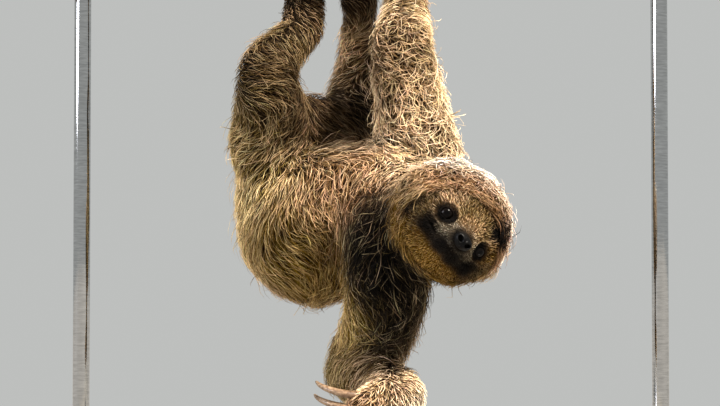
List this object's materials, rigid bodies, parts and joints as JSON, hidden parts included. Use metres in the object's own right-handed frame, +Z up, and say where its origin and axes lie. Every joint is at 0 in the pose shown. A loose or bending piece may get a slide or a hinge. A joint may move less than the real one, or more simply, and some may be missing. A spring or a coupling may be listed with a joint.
{
  "type": "three-toed sloth",
  "caption": "Life-size young three-toed sloth hanging by its hind feet and one hand from a cut branch on a plain display stand, the other arm hanging free.",
  "frame": {"origin": "centre of the underside of the stand's base", "axes": "+X along the branch from the sloth's tail end to its head end, +Y away from the side that the head faces, +Z up"},
  "size_m": [0.5, 0.3, 0.4401],
  "materials": {
    "coat": "coarse shaggy hair, matt",
    "claw": "smooth horn",
    "nose": "bare moist skin",
    "eye": "wet gloss",
    "bark": "rough bark",
    "stand_base": "painted board",
    "stand_rod": "brushed"
  },
  "bodies": {
    "root": {"claw_foot_left_inner": "claw", "claw_foot_left_middle": "claw", "claw_foot_left_outer": "claw", "claw_foot_right_inner": "claw", "claw_foot_right_middle": "claw", "claw_foot_right_outer": "claw", "claw_hand_left_inner": "claw", "claw_hand_left_middle": "claw", "claw_hand_left_outer": "claw", "claw_hand_right_inner": "claw", "claw_hand_right_middle": "claw", "claw_hand_right_outer": "claw", "ear_left": "coat", "ear_right": "coat", "eye_left": "eye", "eye_right": "eye", "foot_left": "coat", "foot_right": "coat", "forearm_left": "coat", "forearm_right": "coat", "hand_left": "coat", "hand_right": "coat", "head": "coat", "neck": "coat", "nose": "nose", "perch_branch": "bark", "shank_left": "coat", "shank_right": "coat", "stand_base": "stand_base", "stand_rod_left": "stand_rod", "stand_rod_right": "stand_rod", "tail": "coat", "thigh_left": "coat", "thigh_right": "coat", "trunk_chest": "coat", "trunk_hips": "coat", "upper_arm_left": "coat", "upper_arm_right": "coat"}
  },
  "joints": []
}
